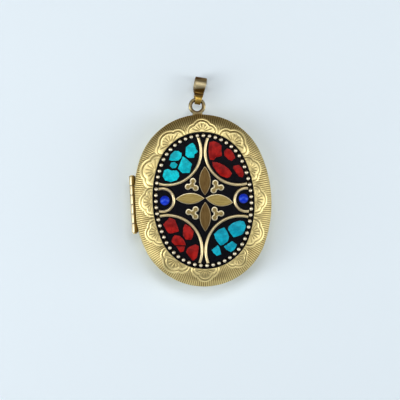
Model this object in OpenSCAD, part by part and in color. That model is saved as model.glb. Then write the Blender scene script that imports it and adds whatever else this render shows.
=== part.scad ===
// Ghau amulet box: an oval brass locket with an inlaid lid, worn on a cord or chain.
// It lies on its flat back at z = 0, the inlaid front faces +Z, the eye and bail are at +Y and
// the hinge is at -X. Every length is in millimetres and every angle in degrees.

/* [Case] */
// Width of the closed locket across its oval
case_w = 35.2; // [32:0.2:38]
// Length of the closed locket along its oval, without the eye
case_l = 44; // [41:0.2:50]
// Radius of the oval's top and bottom arcs, as a share of half its width
end_arc_share = 0.94; // [0.88:0.01:0.96]
// Depth of the back half, from its flat back to the seam
back_h = 4.4; // [4:0.1:5.6]
// Height of the lid, from the seam to the edge round its inlay
lid_h = 3.4; // [3:0.1:4.4]
// Sheet thickness of the back half
back_t = 0.5; // [0.4:0.05:0.7]
// Sheet thickness of the lid
lid_t = 0.4; // [0.3:0.05:0.6]
// Height of the upright wall at the rim of each half
rim_h = 1.3; // [1.1:0.1:1.7]
// Width of the rounded border between the back's rim and its flat
back_border_w = 5.5; // [4.5:0.1:7]
// Gap between the two rims when the locket is shut
seam_gap = 0.05; // [0.03:0.01:0.12]

/* [Snap band] */
// Thickness of the band inside the back half that the lid snaps over
band_t = 0.4; // [0.3:0.05:0.6]
// Height that the band stands above the seam
band_rise = 1.0; // [0.7:0.1:1.2]
// Clearance between the band and the lid's wall
band_fit = 0.12; // [0.08:0.01:0.2]
// Length that the band leaves free at each end of the hinge
band_relief = 0.4; // [0.2:0.1:1]

/* [Hinge] */
// Outer diameter of the hinge barrel
barrel_d = 1.6; // [1.4:0.1:2]
// Diameter of the hinge pin
pin_d = 0.7; // [0.5:0.05:0.9]
// Radial clearance between the pin and the barrel's bore
pin_fit = 0.03; // [0.02:0.01:0.06]
// Distance from the rim's widest point out to the hinge axis
hinge_out = 0.1; // [0.1:0.05:0.3]
// Number of knuckles, which alternate between case and lid from the eye's end
knuckle_n = 6; // [4:2:8]
// Length of one knuckle
knuckle_l = 2.35; // [1.8:0.05:2.6]
// Gap between two knuckles
knuckle_gap = 0.08; // [0.05:0.01:0.15]
// Clearance round a knuckle in the other half's wall
knuckle_clear = 0.15; // [0.1:0.01:0.25]
// Length of the rounded head at each end of the pin
pin_head_l = 0.18; // [0.1:0.02:0.3]

/* [Eye and bail] */
// Inner diameter of the eye soldered on the top of the case
eye_bore_d = 2.5; // [2.4:0.1:3.2]
// Diameter of the eye's wire
eye_wire_d = 0.95; // [0.8:0.05:1.05]
// Depth of the eye's wire below the seam, to its centre
eye_drop = 0.75; // [0.6:0.05:0.9]
// Width of the eye's neck
neck_w = 2.3; // [1.9:0.1:3]
// Width of the neck's foot against the case
neck_foot_w = 3; // [2.6:0.1:3.6]
// Distance between the centres of the bail's two loops
bail_pitch = 4; // [3.7:0.1:5]
// Inner diameter of the bail's large loop, for the cord or chain
bail_bore_d = 3.3; // [2.8:0.1:3.6]
// Inner diameter of the bail's small loop, round the eye's wire
bail_eye_d = 1.7; // [1.7:0.05:1.9]
// Thickness of the bail's strap
bail_t = 0.45; // [0.35:0.05:0.55]
// Radius of the fillets that pinch the bail between its loops
bail_pinch_r = 0.55; // [0.3:0.05:0.9]
// Width of the slit between the strap's two legs
bail_slit = 0.08; // [0.05:0.01:0.15]
// Width of the bail where it passes through the eye
bail_foot_w = 1.5; // [1.2:0.1:1.6]
// Width of the bail where it leaves the eye
bail_waist_w = 2.35; // [1.8:0.05:2.6]
// Width of the bail at the middle of its large loop
bail_top_w = 2.9; // [2:0.1:3.6]
// Angle that the bail has slid round the eye, towards +X
bail_slide_angle = 12.5; // [0:0.5:20]

/* [Inlay] */
// Width of the stamped border, from the rim to the edge of the inlay
border_w = 4.55; // [3.8:0.05:5.2]
// Thickness of the resin bed and depth of the dish that holds it
resin_t = 0.8; // [0.6:0.05:1]
// Thickness of resin left under the inlaid pieces
bed_floor = 0.15; // [0.1:0.01:0.2]
// Diameter of the beads on the beaded wire
bead_d = 0.95; // [0.8:0.05:1.1]
// Diameter of the thin wire between the beads
bead_wire_d = 0.36; // [0.25:0.01:0.45]
// Number of beads round the inlay
bead_n = 59; // [48:1:66]
// Distance from the inlay's edge in to the beads' centres
bead_in = 0.85; // [0.7:0.05:1.1]
// Width of the four corner wires, as a share of half the inlay's width
corner_wire_share = 0.061; // [0.035:0.001:0.065]
// Width of the two side wires round the lapis, as a share of half the inlay's width
side_wire_share = 0.0623; // [0.045:0.001:0.075]
// Height that the wires' rounded tops stand above the resin
wire_rise = 0.35; // [0.2:0.05:0.5]
// Height that the petals stand above the resin
petal_rise = 0.14; // [0.08:0.02:0.3]
// Height that the trefoils stand above the resin
trefoil_rise = 0.22; // [0.1:0.02:0.35]
// Height that the turquoise and coral chips stand above the resin
chip_rise = 0.1; // [0.04:0.02:0.25]
// Diameter of the two lapis stones, as a share of half the inlay's width
lapis_share = 0.197; // [0.16:0.005:0.215]
// Height of the lapis domes above the resin, as a share of their diameter
lapis_rise_share = 0.27; // [0.16:0.01:0.34]
// Gap between an inlaid piece with curved sides and the resin
set_gap = 0.02; // [0.01:0.01:0.04]

/* [Hidden] */
$fn = 96;
// Overrun of a cut past the face that it opens
cut = 1;
// Film of solder between pieces that are soldered together
solder_gap = 0.02;
// Distance between the beads and the ends of the wires
wire_end_gap = 0.1;
// Amount by which the flat oval's end arcs cross its side arcs
arc_cross = 0.005;
// Step of the points along a bent sheet's section
arc_step_angle = 6;

// The oval: two side arcs and two end arcs that meet tangent
half_w = case_w / 2;
half_l = case_l / 2;
end_r = end_arc_share * half_w;
side_r = (half_w * half_w + half_l * half_l - 2 * half_l * end_r) / (2 * (half_w - end_r));
side_x = side_r - half_w;
end_y = half_l - end_r;
join_angle = atan2(end_y, side_x);

// Heights
seam_z = back_h;
lid_z = seam_z + seam_gap;
resin_z = lid_z + lid_h;
seat_z = resin_z - resin_t;
set_z = seat_z + bed_floor;
set_h = resin_t - bed_floor;

// Snap band, which reaches down to where the back's border starts to curve inwards
band_in = max(back_t, lid_t + band_fit) + solder_gap;
band_depth = inner_wall_h(back_border_w, back_h, back_t) - solder_gap;

// Hinge
hinge_x = -(half_w + hinge_out);
hinge_z = seam_z + seam_gap / 2;
knuckle_pitch = knuckle_l + knuckle_gap;
barrel_l = knuckle_n * knuckle_pitch - knuckle_gap;
barrel_r = barrel_d / 2;
knuckle_bore_r = pin_d / 2 + pin_fit;

// Eye and bail
eye_r = (eye_bore_d + eye_wire_d) / 2;
eye_y = half_l + eye_bore_d / 2 + eye_wire_d;
eye_z = seam_z - eye_drop;
loop_r = bail_bore_d / 2 + bail_t;
small_loop_r = bail_eye_d / 2 + bail_t;
bail_droop_angle = asin((eye_z - loop_r - solder_gap) / bail_pitch);
bail_reach = bail_pitch + loop_r;

// The beaded ring's centre and half-axes on the reference picture, in its pixels, x to the right
// and y down. They tie the inlay's places there to its real size, and the picture shows the locket
// turned anticlockwise by picture_turn_angle.
ring_centre_px = [203.6, 200.6];
ring_half_px = [47.7, 64.9];
picture_turn_angle = 3.2;

// Inlay
bead_line = border_w + bead_in;
ring_a = half_w - bead_line;
ring_b = half_l - bead_line;
field_in = bead_line + bead_d / 2 + wire_end_gap;
inlay_a = min(ring_a, ring_b * ring_half_px[0] / ring_half_px[1]);
corner_wire_w = corner_wire_share * inlay_a;
side_wire_w = side_wire_share * inlay_a;
lapis_d = lapis_share * inlay_a;
lapis_rise = lapis_rise_share * lapis_d;

// Places on the picture. Corner wires: centre and radius of each arc
corner_wire_names = ["upper_left", "upper_right", "lower_left", "lower_right"];
corner_wire_px = [[167.4, 151.5, 33.5], [238.4, 151.3, 33.4],
                  [167.5, 249.8, 34.5], [240.1, 250.3, 34.4]];

// Side wires round the lapis: centre and radius of each arc
side_names = ["left", "right"];
side_wire_px = [[162.3, 200.2, 11.5], [246.4, 199.8, 11.6]];
lapis_px = [[164.8, 200.6], [243.6, 198.6]];

// Petals: both tips and half the width
petal_names = ["top", "bottom", "left", "right"];
petal_px = [[204.8, 166.5, 204.9, 195.4, 5.7], [205.2, 202, 205.3, 231.5, 5.5],
            [175.8, 199.2, 204.4, 198.3, 5.5], [205.8, 198.1, 232.9, 202.8, 5.8]];

// Trefoils: middle, and the distance and direction to each lobe
trefoil_px = [[192, 185.6], [216.6, 187.2], [192.9, 213], [216.6, 213.8]];
trefoil_lobe_px = 4.4;
trefoil_lobe_r_px = 3;
trefoil_angles = [[75, 195, 320], [105, 225, 350], [50, 165, 300], [115, 0, 240]];

// Outlines of the stone chips
turquoise_upper_px = [
    [[190, 144.5], [193, 143.5], [195, 146], [196, 149.5], [197.6, 151.5], [196.3, 153.2],
     [194, 154.5], [194, 157.8], [191, 158.1], [187.3, 157.3], [185.3, 155.3], [186, 152],
     [186, 147.8]],
    [[174.5, 151.5], [178, 151.3], [181.5, 153.5], [181, 157.3], [178.5, 160.3], [173, 161],
     [169, 160], [170.5, 155.5]],
    [[171, 163], [174.6, 162.4], [177.4, 164.8], [175.6, 168], [172.5, 168.6], [170, 166]],
    [[183, 157], [187.2, 159.8], [191.8, 164.5], [190.5, 168], [189.6, 172.8], [182.3, 173.2],
     [177.8, 168.8], [180.2, 163]],
    [[164.4, 170.4], [168, 169.4], [172, 170.9], [176, 170.8], [179, 173], [179, 176],
     [177, 180.2], [171, 182], [165.4, 180.6], [163, 176.5]]];
coral_upper_px = [
    [[209.5, 142.6], [214, 141.6], [218.5, 143.8], [221.3, 146.3], [221.3, 152], [221.8, 156],
     [216, 157.6], [213.5, 160.4], [209.8, 159.5], [208.6, 152]],
    [[227, 148.8], [231, 150.5], [233.5, 154], [235.2, 158], [231.5, 161], [228, 159.3],
     [224.6, 155.5], [224.2, 151.5]],
    [[212.4, 162], [217, 162.7], [224, 165.5], [228.6, 169], [231.8, 173.5], [229.8, 177],
     [226.5, 178.2], [220.4, 175.4], [215.4, 170.2], [213, 166]],
    [[233.9, 166.2], [239, 165.2], [241.8, 168.5], [243.8, 173], [242.3, 177.2], [239.2, 176.8],
     [236, 172], [233.2, 168.5]]];
coral_lower_px = [
    [[169.5, 218], [174.8, 220.2], [176.8, 225], [179, 231], [172.5, 233], [168.2, 233],
     [165.4, 228], [163.4, 224.5], [166.2, 221.3]],
    [[185, 224.4], [189.8, 226.8], [193.4, 231.5], [192.6, 236.5], [191, 239.6], [185.6, 239],
     [183, 234.5], [183.3, 228]],
    [[174.8, 235.2], [179.5, 236.3], [183.6, 240], [185.6, 245], [175.4, 245.2], [171.6, 241.5],
     [172.8, 237.6]],
    [[176.6, 246.6], [184.8, 246.4], [183, 251.4], [180, 252]],
    [[191, 246.2], [195.3, 244.4], [198.6, 246.4], [198.1, 252], [196.6, 257.6], [193, 260.4],
     [190, 257], [186.2, 252], [187.5, 248.5]]];
turquoise_lower_px = [
    [[228.7, 226.7], [233, 223], [240, 220.8], [243.9, 221.8], [245.6, 226], [244.4, 231.2],
     [241, 235], [233.8, 237.2], [230.8, 233.2], [228.2, 229.5]],
    [[213.9, 234.2], [218, 230.4], [224.3, 227.5], [227.2, 232.2], [229, 236.5], [227.6, 241],
     [223.3, 244.4], [220.7, 245.4], [216.3, 240.5]],
    [[211.6, 250.2], [215, 247.4], [217.9, 244.9], [219.9, 249], [220.9, 254], [216.7, 255.9],
     [213.7, 252.8]],
    [[224.2, 246.6], [228, 243.9], [232.3, 241.4], [236.8, 245], [234.6, 249.2], [231.2, 251.5],
     [226.6, 249.7]]];

function numbered(name, count) = [for (i = [1:count]) str(name, "_", i)];
function joined(name, ends) = [for (e = ends) str(name, "_", e)];

// A place on the picture, taken to its place on the lid
function place(p) =
    let (u = p[0] - ring_centre_px[0],
         v = ring_centre_px[1] - p[1],
         x = u * cos(picture_turn_angle) + v * sin(picture_turn_angle),
         y = v * cos(picture_turn_angle) - u * sin(picture_turn_angle))
    span(1) * [x, y];

// A length on the picture, taken to its real length on the lid
function span(length_px) = length_px * inlay_a / ring_half_px[0];

// The point at distance s along the oval that lies inset from the rim, from the right side on
function oval_at(s, inset) =
    let (rs = side_r - inset,
         re = end_r - inset,
         side_l = rs * 2 * join_angle * PI / 180,
         end_l = re * (180 - 2 * join_angle) * PI / 180,
         half_turn = side_l + end_l,
         sign = s < half_turn ? 1 : -1,
         u = s < half_turn ? s : s - half_turn,
         side_angle = u / rs * 180 / PI - join_angle,
         end_angle = (u - side_l) / re * 180 / PI + join_angle)
    sign * (u < side_l
        ? [rs * cos(side_angle) - side_x, rs * sin(side_angle)]
        : [re * cos(end_angle), re * sin(end_angle) + end_y]);

function oval_length(inset) =
    4 * join_angle * PI / 180 * (side_r - inset)
    + (360 - 4 * join_angle) * PI / 180 * (end_r - inset);

// The flat oval that lies inset from the rim. The end arcs are larger by arc_cross, so that they
// cross the side arcs at a small angle, and the block fills the middle between the crossings.
module oval(inset) {
    join_y = (side_r - inset) * sin(join_angle);
    intersection() {
        translate([-side_x, 0]) circle(side_r - inset);
        translate([side_x, 0]) circle(side_r - inset);
        union() {
            translate([0, end_y]) circle(end_r - inset + arc_cross);
            translate([0, -end_y]) circle(end_r - inset + arc_cross);
            translate([-half_w, -join_y]) square([case_w, 2 * join_y]);
        }
    }
}

module oval_plate(inset, low, high) {
    translate([0, 0, low]) linear_extrude(high - low) oval(inset);
}

// Carries a section round the oval. In the section x is 0 on the rim and falls inwards.
module round_oval() {
    for (turn = [0, 180]) rotate(turn) {
        translate([-side_x, 0]) rotate(-join_angle)
            rotate_extrude(angle = 2 * join_angle) translate([side_r, 0]) children();
        translate([0, end_y]) rotate(join_angle)
            rotate_extrude(angle = 180 - 2 * join_angle) translate([end_r, 0]) children();
    }
}

// Points of an arc, from one angle to another
function arc(centre, r, from, to) =
    let (steps = ceil(abs(to - from) / arc_step_angle))
    [for (i = [0 : steps])
        let (a = from + (to - from) * i / steps)
        centre + r * [cos(a), sin(a)]];

// Radius of the rounded slope of a border, and the height of its upright wall on the inside
function slope_r(width, height) =
    (width * width + (height - rim_h) * (height - rim_h)) / (2 * (height - rim_h));
function inner_wall_h(width, height, thickness) =
    let (inner_r = slope_r(width, height) - thickness, run = width - thickness)
    height - slope_r(width, height) + sqrt(inner_r * inner_r - run * run);

// Section of a shell's border in sheet of one thickness: an upright rim wall, then a rounded slope
// that is width wide and height high. A dish turns the sheet down again at its inner edge, and
// without one a tongue runs on level into the plate.
module border_section(width, height, thickness, dish) {
    r = slope_r(width, height);
    inner_r = r - thickness;
    centre = [-width, height - r];
    floor_h = height - dish;
    polygon(concat(
        [[0, 0]],
        arc(centre, r, 90 - asin(width / r), 90),
        dish > 0
            ? [[-width, floor_h], [-width, floor_h - thickness],
               [thickness - width, floor_h - thickness]]
            : [[-width, height], [-width, height - thickness / 4],
               [-width - thickness, height - thickness / 4],
               [-width - thickness, height - thickness * 3 / 4],
               [-width, height - thickness * 3 / 4]],
        arc(centre, inner_r, dish > 0 ? 90 - asin(thickness / inner_r) : 90,
            90 - asin((width - thickness) / inner_r)),
        [[-thickness, 0]]));
}

// Case

module back_shell() {
    color("goldenrod") difference() {
        union() {
            translate([0, 0, seam_z]) mirror([0, 0, 1]) round_oval()
                border_section(back_border_w, back_h, back_t, 0);
            oval_plate(back_border_w, 0, back_t);
        }
        knuckle_row(1, barrel_r + knuckle_clear, knuckle_clear);
        knuckle_row(0, barrel_r + solder_gap, solder_gap);
    }
}

module snap_band() {
    color("darkgoldenrod") difference() {
        oval_plate(band_in, seam_z - band_depth, seam_z + band_rise);
        oval_plate(band_in + band_t, seam_z - band_depth - cut, seam_z + band_rise + cut);
        translate([hinge_x - cut, -barrel_l / 2 - band_relief, hinge_z - barrel_r - band_relief])
            cube([half_w / 2, barrel_l + 2 * band_relief, band_depth + 2 * band_rise]);
    }
}

// Knuckles of one half, which are the odd or the even ones, as solid rods of radius r
module knuckle_row(odd, r, longer) {
    for (i = [odd : 2 : knuckle_n - 1])
        translate([hinge_x, barrel_l / 2 - i * knuckle_pitch + longer, hinge_z])
            rotate([90, 0, 0]) cylinder(r = r, h = knuckle_l + 2 * longer);
}

module knuckles(odd) {
    difference() {
        knuckle_row(odd, barrel_r, 0);
        translate([hinge_x, barrel_l / 2 + cut, hinge_z])
            rotate([90, 0, 0]) cylinder(r = knuckle_bore_r, h = barrel_l + 2 * cut);
    }
}

module case_knuckles() {
    color("goldenrod") knuckles(0);
}

// The pin's rounded heads close the barrel's ends, and the far one clears the lid's last knuckle
module hinge_pin() {
    head_r = pin_d / 2 + pin_head_l;
    color("peru") translate([hinge_x, barrel_l / 2, hinge_z]) rotate([90, 0, 0]) union() {
        cylinder(d = pin_d, h = barrel_l + knuckle_gap);
        intersection() {
            sphere(r = head_r);
            translate([0, 0, -pin_head_l]) cylinder(r = head_r, h = pin_head_l);
        }
        translate([0, 0, barrel_l + knuckle_gap]) intersection() {
            sphere(r = head_r);
            cylinder(r = head_r, h = pin_head_l);
        }
    }
}

module eye() {
    neck_h = eye_y - half_l;
    color("goldenrod") difference() {
        union() {
            translate([0, eye_y, eye_z]) rotate_extrude()
                translate([eye_r, 0]) circle(d = eye_wire_d);
            translate([0, 0, eye_z - eye_wire_d / 2]) linear_extrude(eye_wire_d) polygon([
                [-neck_foot_w / 2, half_l - neck_h / 4], [neck_foot_w / 2, half_l - neck_h / 4],
                [neck_w / 2, half_l + eye_wire_d / 2], [neck_w / 2, eye_y - eye_r / 2],
                [-neck_w / 2, eye_y - eye_r / 2], [-neck_w / 2, half_l + eye_wire_d / 2]]);
        }
        oval_plate(-solder_gap, 0, seam_z + cut);
        translate([0, eye_y, eye_z - eye_wire_d]) cylinder(d = eye_bore_d, h = 2 * eye_wire_d);
    }
}

// Bail: x runs up the bail from the eye's wire, y through its strap
module bail_side() {
    small_reach = small_loop_r + bail_pinch_r;
    large_reach = loop_r + bail_pinch_r;
    pinch_x = (bail_pitch * bail_pitch + small_reach * small_reach - large_reach * large_reach)
        / (2 * bail_pitch);
    pinch_y = sqrt(small_reach * small_reach - pinch_x * pinch_x);
    small_angle = atan2(pinch_y, pinch_x);
    large_angle = atan2(pinch_y, pinch_x - bail_pitch);
    difference() {
        polygon(concat(
            arc([bail_pitch, 0], loop_r, -large_angle, large_angle),
            arc([pinch_x, pinch_y], bail_pinch_r, large_angle - 180, small_angle - 180),
            arc([0, 0], small_loop_r, small_angle, 360 - small_angle),
            arc([pinch_x, -pinch_y], bail_pinch_r, 180 - small_angle, 180 - large_angle)));
        circle(d = bail_eye_d);
        translate([bail_pitch, 0]) circle(d = bail_bore_d);
        translate([0, -bail_slit / 2]) square([bail_pitch, bail_slit]);
    }
}

module bail_front() {
    edge = [[-small_loop_r - cut, bail_foot_w / 2], [-small_loop_r / 2, bail_foot_w / 2],
            [small_loop_r, bail_waist_w / 2], [bail_pitch, bail_top_w / 2],
            [bail_reach + cut, bail_top_w / 2]];
    polygon(concat(edge, [for (i = [len(edge) - 1 : -1 : 0]) [edge[i][0], -edge[i][1]]]));
}

module bail() {
    color("goldenrod")
        translate([0, eye_y, eye_z]) rotate(-bail_slide_angle) translate([0, eye_r, 0])
        rotate([-bail_droop_angle, 0, 0]) rotate([90, 0, 90]) intersection() {
            translate([0, 0, -bail_top_w / 2]) linear_extrude(bail_top_w) bail_side();
            rotate([90, 0, 0]) translate([0, 0, -loop_r - cut])
                linear_extrude(2 * (loop_r + cut)) bail_front();
        }
}

// Lid

module front_shell() {
    color("gold") difference() {
        translate([0, 0, lid_z]) round_oval() border_section(border_w, lid_h, lid_t, resin_t);
        knuckle_row(0, barrel_r + knuckle_clear, knuckle_clear);
        knuckle_row(1, barrel_r + solder_gap, solder_gap);
    }
}

// Plate soldered in the mouth of the lid's border, which carries the inlay
module inlay_plate() {
    color("darkgoldenrod") oval_plate(border_w + solder_gap, seat_z - lid_t, seat_z);
}

module lid_knuckles() {
    color("gold") knuckles(1);
}

// A ring round a corner or a lapis, kept inside the beads. grow widens it for its pocket.
module ring_line(ring_px, width, grow) {
    intersection() {
        translate(place(ring_px)) difference() {
            circle(span(ring_px[2]) + width / 2 + grow);
            circle(span(ring_px[2]) - width / 2 - grow);
        }
        oval(field_in - grow);
    }
}

module wire(ring_px, width) {
    color("khaki") intersection() {
        translate(concat(place(ring_px), set_z)) rotate_extrude()
            translate([span(ring_px[2]), 0]) {
                intersection() {
                    translate([0, set_h + wire_rise - width / 2]) circle(d = width);
                    translate([-width / 2, 0]) square([width, set_h + wire_rise]);
                }
                translate([-width / 2, 0]) square([width, set_h + wire_rise - width / 2]);
            }
        oval_plate(field_in, 0, resin_z + cut);
    }
}

// A pointed leaf between two tips
module leaf(petal, grow) {
    from = place([petal[0], petal[1]]);
    to = place([petal[2], petal[3]]);
    step = to - from;
    half = norm(step) / 2 + grow;
    side = span(petal[4]) + grow;
    r = (half * half + side * side) / (2 * side);
    translate((from + to) / 2) rotate(atan2(step[1], step[0])) intersection() {
        translate([0, r - side]) circle(r);
        translate([0, side - r]) circle(r);
    }
}

module petal(i) {
    color("darkkhaki") difference() {
        translate([0, 0, set_z]) linear_extrude(set_h + petal_rise) leaf(petal_px[i], 0);
        translate([0, 0, resin_z + petal_rise / 2])
            linear_extrude(petal_rise) leaf(petal_px[i], -petal_rise);
    }
}

module trefoil_outline(i, grow) {
    lobe_r = span(trefoil_lobe_r_px);
    translate(place(trefoil_px[i])) {
        circle(lobe_r + grow);
        for (a = trefoil_angles[i]) rotate(a) translate([span(trefoil_lobe_px), 0])
            circle(lobe_r + grow);
    }
}

module trefoil(i) {
    lobe_r = span(trefoil_lobe_r_px);
    dish_r = lobe_r - trefoil_rise / 2;
    color("khaki") difference() {
        translate([0, 0, set_z]) linear_extrude(set_h + trefoil_rise) trefoil_outline(i, 0);
        translate(concat(place(trefoil_px[i]), resin_z + trefoil_rise + dish_r / 2))
            for (a = trefoil_angles[i]) rotate(a) translate([span(trefoil_lobe_px), 0])
                sphere(r = dish_r);
    }
}

module lapis(i) {
    dome_r = (lapis_d * lapis_d / 4 + lapis_rise * lapis_rise) / (2 * lapis_rise);
    color("royalblue") translate(concat(place(lapis_px[i]), set_z)) union() {
        cylinder(d = lapis_d, h = set_h);
        intersection() {
            cylinder(d = lapis_d, h = set_h + lapis_rise);
            translate([0, 0, set_h + lapis_rise - dome_r]) sphere(r = dome_r);
        }
    }
}

module chip(outline_px, shade) {
    color(shade) translate([0, 0, set_z]) linear_extrude(set_h + chip_rise)
        polygon([for (p = outline_px) place(p)]);
}

module resin_bed() {
    chips = concat(turquoise_upper_px, coral_upper_px, coral_lower_px, turquoise_lower_px);
    color("dimgray") difference() {
        oval_plate(border_w + set_gap, seat_z, resin_z);
        translate([0, 0, set_z]) linear_extrude(set_h + cut) {
            for (outline_px = chips) polygon([for (p = outline_px) place(p)]);
            for (p = petal_px) leaf(p, set_gap);
            for (i = [0 : len(trefoil_px) - 1]) trefoil_outline(i, set_gap);
            for (p = lapis_px) translate(place(p)) circle(lapis_d / 2 + set_gap);
            for (p = corner_wire_px) ring_line(p, corner_wire_w, set_gap);
            for (p = side_wire_px) ring_line(p, side_wire_w, set_gap);
        }
        translate([0, 0, resin_z - bead_d / 2 - set_gap]) linear_extrude(bead_d) difference() {
            oval(bead_line - bead_d / 2 - set_gap);
            oval(bead_line + bead_d / 2 + set_gap);
        }
    }
}

module beaded_wire() {
    pitch = oval_length(bead_line) / bead_n;
    color("khaki") translate([0, 0, resin_z]) for (i = [0 : bead_n - 1]) {
        from = oval_at((i + 1 / 2) * pitch, bead_line);
        to = oval_at(((i + 1) % bead_n + 1 / 2) * pitch, bead_line);
        step = to - from;
        translate(from) rotate([0, 90, atan2(step[1], step[0])]) {
            sphere(d = bead_d);
            cylinder(d = bead_wire_d, h = norm(step));
        }
    }
}

back_shell();
snap_band();
case_knuckles();
hinge_pin();
eye();
bail();
front_shell();
inlay_plate();
lid_knuckles();
resin_bed();
beaded_wire();
for (i = [0 : len(corner_wire_px) - 1])
    wire(corner_wire_px[i], corner_wire_w);
for (i = [0 : len(side_wire_px) - 1])
    wire(side_wire_px[i], side_wire_w);
for (i = [0 : len(lapis_px) - 1])
    lapis(i);
for (i = [0 : len(petal_px) - 1])
    petal(i);
for (i = [0 : len(trefoil_px) - 1])
    trefoil(i);
for (i = [0 : len(turquoise_upper_px) - 1])
    chip(turquoise_upper_px[i], "turquoise");
for (i = [0 : len(coral_upper_px) - 1])
    chip(coral_upper_px[i], "firebrick");
for (i = [0 : len(coral_lower_px) - 1])
    chip(coral_lower_px[i], "firebrick");
for (i = [0 : len(turquoise_lower_px) - 1])
    chip(turquoise_lower_px[i], "darkcyan");
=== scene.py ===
# %% [markdown]
# # An oval amulet locket in brass, resin and stone
# The locket is a ghau, a small box that is worn on a cord and holds a keepsake. Its lid is a
# stamped brass oval with an inlay of stone chips in black resin, and it opens on a side hinge.
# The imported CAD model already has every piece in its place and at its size, so the first step is
# to load it. The notebook then adds what a solid modeller leaves out: the stamped relief, worn
# edges, uneven stones and the finishes. All of it stays inside the CAD model's box.

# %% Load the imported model
import math

import bmesh
import bpy
import numpy as np
from mathutils import Matrix, Vector, noise


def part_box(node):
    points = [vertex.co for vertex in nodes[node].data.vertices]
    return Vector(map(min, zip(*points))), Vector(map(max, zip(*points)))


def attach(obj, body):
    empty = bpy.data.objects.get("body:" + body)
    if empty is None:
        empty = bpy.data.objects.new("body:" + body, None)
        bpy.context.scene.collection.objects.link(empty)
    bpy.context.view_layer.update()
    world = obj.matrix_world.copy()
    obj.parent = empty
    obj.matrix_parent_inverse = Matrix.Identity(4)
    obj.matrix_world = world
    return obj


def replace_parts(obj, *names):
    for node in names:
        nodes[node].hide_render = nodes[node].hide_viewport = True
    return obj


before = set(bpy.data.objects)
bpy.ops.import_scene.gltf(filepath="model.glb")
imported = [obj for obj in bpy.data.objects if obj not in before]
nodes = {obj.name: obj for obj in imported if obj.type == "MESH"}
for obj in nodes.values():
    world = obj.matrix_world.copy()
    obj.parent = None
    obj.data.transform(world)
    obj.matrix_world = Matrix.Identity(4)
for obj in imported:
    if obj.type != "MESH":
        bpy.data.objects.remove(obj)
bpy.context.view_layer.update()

# %% [markdown]
# ## Camera
# The photograph looks down on the locket from far away, so its sides hardly converge. A long lens
# a metre away does the same. One picture of 400 pixels takes in 102.4 mm, and the locket lies
# turned a little to the left in it, so the camera is rolled the other way. The inlay is seen a
# pixel to the right of the rim's middle, because it stands higher and the camera stood a little to
# the left of it. That shift gives the angle of the camera's lean.

# %% Camera
MM = 0.001
PICTURE_PX = 400
PX = 0.256 * MM
TURN = math.radians(3.2)
BODY_PX = (202.5, 200.5)
INLAY_SHIFT_PX = 1.1
CAMERA_DISTANCE = 1.0
SENSOR_WIDTH = 36

rim_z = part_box("back_shell")[1].z
inlay_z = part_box("resin_bed")[1].z
lean = math.asin(INLAY_SHIFT_PX * PX / (inlay_z - rim_z))
camera_data = bpy.data.cameras.new("camera")
camera_data.sensor_width = SENSOR_WIDTH
camera_data.lens = CAMERA_DISTANCE * SENSOR_WIDTH / (PICTURE_PX * PX)
camera_data.clip_end = 10 * CAMERA_DISTANCE
camera = bpy.data.objects.new("camera", camera_data)
turn = Matrix.Rotation(-TURN, 4, "Z") @ Matrix.Rotation(-lean, 4, "Y")
middle = PICTURE_PX / 2
offset = Vector((middle - BODY_PX[0], BODY_PX[1] - middle, CAMERA_DISTANCE / PX)) * PX
camera.matrix_world = Matrix.Translation((0, 0, rim_z)) @ turn @ Matrix.Translation(offset)
bpy.context.scene.collection.objects.link(camera)
bpy.context.scene.camera = camera
print("lens", round(camera_data.lens), "mm, leaning", round(math.degrees(lean), 1), "degrees")

# %% [markdown]
# ## Shader maths in plain sums
# A finish is a small tree of nodes. Building it by hand takes a line for every node and every
# link, and hides the idea. Here one class wraps a socket, so that a sum of two sockets adds the
# Math node for it. The reflected forms let a number come first, as in 1 - mask.

# %% Shader maths
class Value:
    """A node's output that can stand in a sum, with numbers or with other outputs."""

    def __init__(self, owner, socket):
        self.owner, self.socket = owner, socket

    def __add__(self, other):
        return self.owner.math("ADD", self, other)

    def __radd__(self, other):
        return self.owner.math("ADD", other, self)

    def __sub__(self, other):
        return self.owner.math("SUBTRACT", self, other)

    def __rsub__(self, other):
        return self.owner.math("SUBTRACT", other, self)

    def __mul__(self, other):
        return self.owner.math("MULTIPLY", self, other)

    def __rmul__(self, other):
        return self.owner.math("MULTIPLY", other, self)

    def __pow__(self, other):
        return self.owner.math("POWER", self, other)

    def absolute(self):
        return self.owner.math("ABSOLUTE", self)

    def fraction(self):
        """What the value has over the whole number below it."""
        return self.owner.math("FRACT", self)

    def within(self):
        """The same value, kept between 0 and 1."""
        return self.owner.node("ShaderNodeClamp", {"Value": self})

    def ramp(self, low, high):
        """0 below low, 1 above high, and smooth between them."""
        return self.owner.node(
            "ShaderNodeMapRange", {"Value": self, "From Min": low, "From Max": high},
            interpolation_type="SMOOTHSTEP")


print("sums of sockets ready")

# %% [markdown]
# ## Trees of nodes and finishes
# One method makes any node from its settings and its inputs, for a material or for the world. A
# finish is such a tree on a Principled shader. Its patterns read the place on the object in the
# object's own coordinates, so they stay on a piece when it moves.

# %% Trees and finishes
class Tree:
    """The nodes of a material or of the world, added one by one."""

    def __init__(self, owner):
        owner.use_nodes = True
        self.tree = owner.node_tree

    def node(self, kind, inputs=None, output=0, **settings):
        made = self.tree.nodes.new(kind)
        for name, value in settings.items():
            setattr(made, name, value)
        for name, value in (inputs or {}).items():
            if isinstance(value, Value):
                self.tree.links.new(value.socket, made.inputs[name])
            else:
                made.inputs[name].default_value = value
        return Value(self, made.outputs[output])

    def math(self, operation, *terms):
        return self.node("ShaderNodeMath", dict(enumerate(terms)), operation=operation)

    def mix(self, factor, first, second):
        """A colour between two colours, the second where the factor is 1."""
        return self.node("ShaderNodeMix", {0: factor, 6: first, 7: second}, output=2,
                         data_type="RGBA")


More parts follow.
